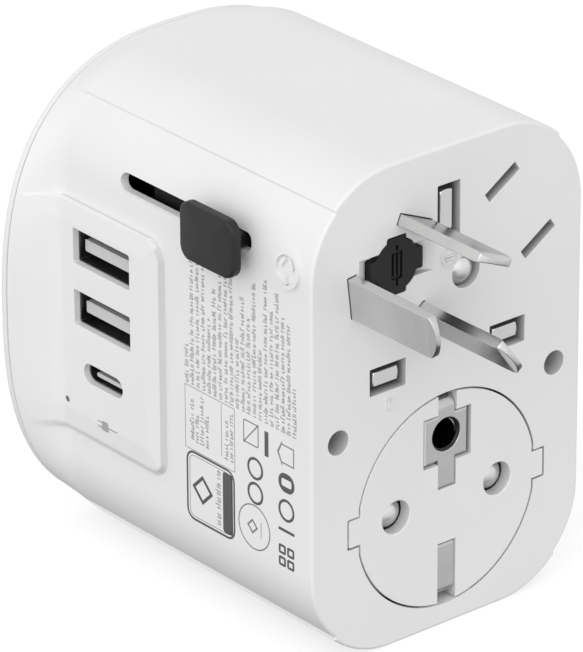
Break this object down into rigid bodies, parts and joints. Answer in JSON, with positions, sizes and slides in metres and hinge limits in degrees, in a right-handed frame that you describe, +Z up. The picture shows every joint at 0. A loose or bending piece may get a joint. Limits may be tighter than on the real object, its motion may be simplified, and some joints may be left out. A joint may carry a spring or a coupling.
{
  "type": "universal travel adapter",
  "caption": "Travel plug adapter: four retractable plugs and a fuse on one face, a universal shuttered socket on the other, charging ports on one side.",
  "frame": {"origin": "on the surface the adapter lies on, under the middle of its bounding box", "axes": "+Y from the pin face towards the socket, +Z up, +X to the right when facing the pin face"},
  "size_m": [0.065, 0.0794, 0.0749],
  "materials": {
    "shell_white": "fine matte white polycarbonate",
    "inner_white": "plain moulded white plastic",
    "black_plastic": "satin black plastic",
    "knob_black": "fine matte charcoal plastic",
    "nickel": "satin nickel plate on brass",
    "steel": "bright zinc-plated or stainless steel",
    "brass": "plain brass strip",
    "ceramic": "glazed ceramic",
    "board_green": "green circuit board",
    "ferrite": "dull grey ferrite",
    "coil_tape": "yellow insulating tape",
    "capacitor_blue": "dark blue sleeve",
    "light_clear": "clear light guide"
  },
  "bodies": {
    "case": {"main_housing": "shell_white", "rear_cover": "shell_white", "chassis": "black_plastic", "case_screws": "steel", "fuse_contact": "brass", "socket_base": "black_plastic", "contact_live": "brass", "contact_neutral": "brass", "contact_earth": "brass", "shutter_springs": "steel", "live_busbar": "brass", "neutral_busbar": "brass", "earth_busbar": "brass", "usb_board": "board_green", "usb_a_shell_upper": "steel", "usb_a_shell_lower": "steel", "usb_a_tongue_upper": "inner_white", "usb_a_tongue_lower": "inner_white", "usb_c_shell": "steel", "usb_c_tongue": "black_plastic", "light_pipe": "light_clear", "power_board": "board_green", "transformer_core": "ferrite", "transformer_coil": "coil_tape", "capacitors": "capacitor_blue"},
    "slant_plug": {"slant_carriage": "inner_white", "slant_live_blade": "nickel", "slant_neutral_blade": "nickel", "slant_earth_blade": "nickel", "slant_rail": "black_plastic"},
    "slant_button": {"slant_knob": "knob_black"},
    "row_plug": {"row_carriage": "inner_white", "row_live_pin": "nickel", "row_neutral_pin": "nickel", "row_earth_pin": "nickel", "row_pin_sleeves": "black_plastic", "row_rail": "black_plastic"},
    "row_button": {"row_knob": "knob_black"},
    "parallel_plug": {"parallel_carriage": "inner_white", "parallel_live_blade": "nickel", "parallel_neutral_blade": "nickel", "parallel_ground_pin": "nickel", "parallel_rail": "black_plastic"},
    "parallel_button": {"parallel_knob": "knob_black"},
    "round_cup": {"round_plug_cup": "shell_white", "round_earth_socket": "nickel", "round_earth_clip": "nickel"},
    "round_pins": {"round_pin_carriage": "inner_white", "round_live_pin": "nickel", "round_neutral_pin": "nickel", "round_rail": "black_plastic"},
    "round_button": {"round_knob": "knob_black"},
    "fuse_holder": {"fuse_cap": "knob_black", "fuse_tube": "ceramic", "fuse_end_caps": "nickel"},
    "socket_shutter": {"shutter": "black_plastic"}
  },
  "joints": [
    {"name": "slant_slide", "type": "slide", "parent": "case", "child": "slant_plug", "axis": [0, 1, 0], "range_m": [0, 0.0186]},
    {"name": "slant_press", "type": "slide", "parent": "slant_plug", "child": "slant_button", "axis": [1, 0, 0], "range_m": [0, 0.0012], "stiffness_N_per_m": 800, "springref_m": -0.0012},
    {"name": "row_slide", "type": "slide", "parent": "case", "child": "row_plug", "axis": [0, -1, 0], "range_m": [0, 0.0186]},
    {"name": "row_press", "type": "slide", "parent": "row_plug", "child": "row_button", "axis": [-1, 0, 0], "range_m": [0, 0.0012], "stiffness_N_per_m": 800, "springref_m": -0.0012},
    {"name": "parallel_slide", "type": "slide", "parent": "case", "child": "parallel_plug", "axis": [0, -1, 0], "range_m": [0, 0.0186]},
    {"name": "parallel_press", "type": "slide", "parent": "parallel_plug", "child": "parallel_button", "axis": [-1, 0, 0], "range_m": [0, 0.0012], "stiffness_N_per_m": 800, "springref_m": -0.0012},
    {"name": "round_cup_slide", "type": "slide", "parent": "case", "child": "round_cup", "axis": [0, -1, 0], "range_m": [0, 0.012]},
    {"name": "round_pins_slide", "type": "slide", "parent": "round_cup", "child": "round_pins", "axis": [0, -1, 0], "range_m": [0, 0.0204]},
    {"name": "round_press", "type": "slide", "parent": "round_pins", "child": "round_button", "axis": [-1, 0, 0], "range_m": [0, 0.0012], "stiffness_N_per_m": 800, "springref_m": -0.0012},
    {"name": "fuse_pull", "type": "slide", "parent": "case", "child": "fuse_holder", "axis": [0, -1, 0], "range_m": [0, 0.022]},
    {"name": "shutter_slide", "type": "slide", "parent": "case", "child": "socket_shutter", "axis": [0, 0, -1], "range_m": [0, 0.008], "stiffness_N_per_m": 60, "springref_m": -0.004, "deforming": ["shutter_springs"]}
  ]
}
